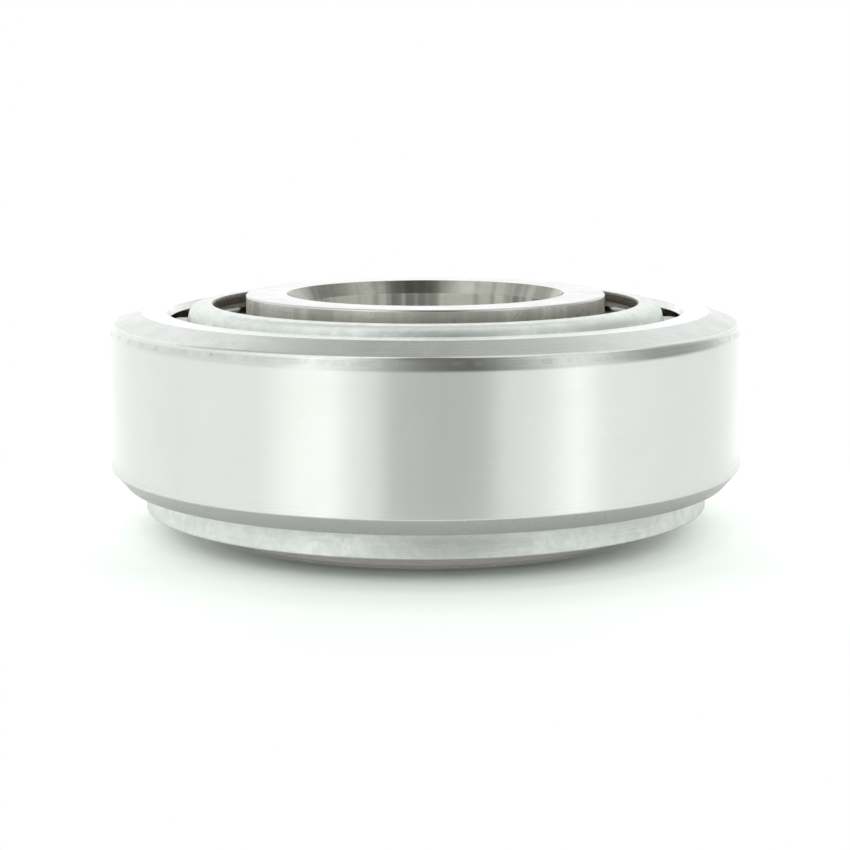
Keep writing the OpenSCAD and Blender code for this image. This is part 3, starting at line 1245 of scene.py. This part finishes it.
@dataclass
class Studio:
    """Light tent, floor, lamp and camera."""

    lens: float = 84.714
    camera_at: Vec3 = (0.0, -143.49, 29.91)
    down: float = 9.087
    roll: float = 0.112
    floor_size: float = 4000.0

    def camera(self) -> None:
        """Sets up the camera at the photograph's angle."""
        data = bpy.data.cameras.new("camera")
        data.lens = self.lens
        data.sensor_width = 36.0
        data.clip_start = 0.005
        data.clip_end = 20.0
        camera = bpy.data.objects.new("camera", data)
        bpy.context.scene.collection.objects.link(camera)
        camera.location = tuple(v * MM for v in self.camera_at)
        camera.rotation_euler = (math.radians(90 - self.down), math.radians(self.roll), 0.0)
        bpy.context.scene.camera = camera

    def world(self) -> None:
        """Builds the light tent: white cloth with a darker side where the camera looks in."""
        world = bpy.data.worlds.new("light_tent")
        world.use_nodes = True
        bpy.context.scene.world = world
        sheet = NodeSheet(world.node_tree)
        back = world.node_tree.nodes["Background"]
        parts = sheet.add("ShaderNodeSeparateXYZ", {0: sheet.add("ShaderNodeTexCoord").outputs["Generated"]}).outputs
        azimuth = sheet.maths("ARCTAN2", parts[0], sheet.maths("MULTIPLY", parts[1], -1))
        share = sheet.maths("MULTIPLY_ADD", azimuth, 1 / math.tau, 0.5)
        low, middle, high = [sheet.curve(share, [(0.5 + a / 360, v) for a, v in table])
                             for table in (LOW_TENT, MIDDLE_TENT, HIGH_TENT)]
        tent = sheet.mix(sheet.remap(parts[2], 0.0, 0.18, 0, 1), low, middle)
        tent = sheet.mix(sheet.remap(parts[2], 0.56, 0.72, 0, 1), tent, high)
        seen = sheet.add("ShaderNodeLightPath").outputs["Is Camera Ray"]
        sheet.tree.links.new(sheet.mix(seen, tent, 1.0), back.inputs["Strength"])
        back.inputs["Color"].default_value = (1.0, 1.0, 1.0, 1.0)

    def floor(self) -> None:
        """Lays the white floor, which keeps the bearing's shadow."""
        size = self.floor_size * MM
        mesh = bpy.data.meshes.new("floor")
        mesh.from_pydata([(-size, -size, 0), (size, -size, 0), (size, size, 0), (-size, size, 0)], [], [(0, 1, 2, 3)])
        floor = bpy.data.objects.new("floor", mesh)
        floor.location.z = -0.00002
        bpy.context.scene.collection.objects.link(floor)
        material = bpy.data.materials.new("floor_white")
        material.use_nodes = True
        tree = material.node_tree
        tree.nodes.remove(tree.nodes["Principled BSDF"])
        sheet = NodeSheet(tree)
        place = sheet.add("ShaderNodeTexCoord").outputs["Object"]
        parts = sheet.add("ShaderNodeSeparateXYZ", {0: place}).outputs
        reach = sheet.maths("SQRT", sheet.maths("ADD", sheet.maths("MULTIPLY", parts[0], parts[0]),
                                                sheet.maths("MULTIPLY", parts[1], parts[1])))
        far = sheet.remap(reach, 0.030, 0.045, 0, 1)
        path = sheet.add("ShaderNodeLightPath").outputs
        plain = sheet.add("ShaderNodeBsdfDiffuse", {"Color": (0.80, 0.80, 0.80, 1)})
        # Painted shade colour: the floor near the bearing and its painted glow are tinted green, which gives the
        # shadow a green-grey cast; the open floor stays white.
        cloth = sheet.add("ShaderNodeBsdfDiffuse", {"Color": (0.755, 0.82, 0.765, 1)})
        # Painted light: rays other than camera rays see the plain floor with a uniform painted glow of 0.09, which
        # lightens the bearing's underside.
        painted_bounce = sheet.add("ShaderNodeAddShader", {0: plain.outputs[0], 1: sheet.add(
            "ShaderNodeEmission", {"Color": (1, 1, 1, 1), "Strength": 0.09}).outputs[0]})
        # Painted light: a glow that rises with the distance from the axis, with more at the sides and less of that in
        # front, draws the shadow's shape for the camera.
        lift = sheet.curve(sheet.maths("MULTIPLY", reach, 20), PAINTED_FLOOR_GLOW)
        sides = sheet.remap(sheet.maths("ABSOLUTE", parts[0]), 0.007, 0.019, 0, 0.19, smooth=False)
        behind = sheet.remap(parts[1], -0.016, -0.007, 0.30, 1, smooth=False)
        lift = sheet.maths("MULTIPLY_ADD", sides, behind, lift)
        painted_glow = sheet.add("ShaderNodeEmission", {"Color": (0.95, 1.0, 0.955, 1), "Strength": lift})
        floor_with_painted_glow = sheet.add("ShaderNodeAddShader", {0: cloth.outputs[0], 1: painted_glow.outputs[0]})
        clear = sheet.add("ShaderNodeEmission", {"Color": (1, 1, 1, 1), "Strength": 1.0})
        open_floor = sheet.remap(reach, 0.025, 0.045, 0, 1)
        shown = sheet.add("ShaderNodeMixShader", {0: open_floor, 1: floor_with_painted_glow.outputs[0], 2: clear.outputs[0]})
        seen = sheet.add("ShaderNodeMixShader", {0: path["Is Camera Ray"], 1: painted_bounce.outputs[0],
                                                 2: shown.outputs[0]})
        through = sheet.add("ShaderNodeBsdfTransparent")
        skip = sheet.maths("MULTIPLY", path["Is Glossy Ray"], far)
        mixed = sheet.add("ShaderNodeMixShader", {0: skip, 1: seen.outputs[0], 2: through.outputs[0]})
        sheet.tree.links.new(mixed.outputs[0], tree.nodes["Material Output"].inputs["Surface"])
        mesh.materials.append(material)

    def lamp(self) -> None:
        """Hangs one large soft lamp over the bearing."""
        data = bpy.data.lights.new("softbox", "AREA")
        data.shape = "DISK"
        data.size = 0.5
        data.energy = 1.2
        lamp = bpy.data.objects.new("softbox", data)
        lamp.location = (0.0, 0.05, 0.6)
        lamp.rotation_euler = (math.radians(-5), 0, 0)
        lamp.visible_glossy = False
        bpy.context.scene.collection.objects.link(lamp)

    def set_up(self) -> None:
        """Sets up camera, tent, floor and lamp."""
        self.camera()
        self.world()
        self.floor()
        self.lamp()
        view = bpy.context.scene.view_settings
        view.view_transform = "Standard"


# Painted light: glow that the floor adds for the camera to draw the bearing's shadow, by twenty times the distance
# from the axis in metres
PAINTED_FLOOR_GLOW: list[tuple[float, float]] = [
    (0.0, 0.0), (0.325, 0.0), (0.356, 0.10), (0.386, 0.26), (0.42, 0.38), (0.46, 0.34), (0.5, 0.30), (0.6, 0.30),
    (1.0, 0.30)]
# Brightness of the tent by direction in degrees round from the camera, low down and high up
LOW_TENT: list[tuple[float, float]] = [
    (-180, 1.20), (-150, 1.12), (-125, 1.00), (-100, 0.97), (-60, 0.96), (-46, 1.17), (-33, 1.22), (-25, 1.00),
    (-17, 0.86), (-11, 0.62), (-3, 0.60), (6, 0.57), (12, 0.58), (20, 0.62), (27, 0.85), (40, 0.94), (54, 1.20),
    (66, 0.98), (100, 0.92), (125, 0.95), (150, 1.12), (180, 1.20)]
MIDDLE_TENT: list[tuple[float, float]] = [
    (-180, 1.15), (-165, 1.08), (-150, 0.97), (-122, 0.92), (-109, 0.86), (-93, 0.85), (-78, 0.82), (-55, 0.84), (-43, 1.18),
    (-32, 1.00), (-22, 0.72), (-12, 0.44), (-2, 0.24), (8, 0.17), (18, 0.14), (29, 0.36), (40, 0.61), (51, 0.90),
    (62, 0.86), (74, 0.62), (88, 0.36), (104, 0.38), (120, 0.50), (136, 0.88), (160, 0.97), (180, 1.15)]
HIGH_TENT: list[tuple[float, float]] = [
    (-180, 0.36), (-165, 0.44), (-140, 0.50), (-90, 0.95), (-45, 1.10), (-25, 0.55), (-8, 0.17), (20, 0.14),
    (32, 0.22), (50, 0.60), (90, 0.90), (140, 0.78), (165, 0.50), (180, 0.36)]


def main() -> None:
    """Builds the studio and the bearing in order and reports each piece."""
    logging.basicConfig(level=logging.INFO, format="%(message)s")
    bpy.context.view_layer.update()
    Studio().set_up()
    shop = Shop(Finishes())
    rolling = Rolling()
    for maker in (OuterRing(rolling), InnerRing(rolling), Cage(rolling), Rollers(rolling)):
        made = maker.build(shop)
        for piece in made if isinstance(made, list) else [made]:
            LOG.info("%s: %d faces", piece.name, len(piece.data.polygons))
    bpy.context.view_layer.update()


if __name__ == "__main__":
    main()
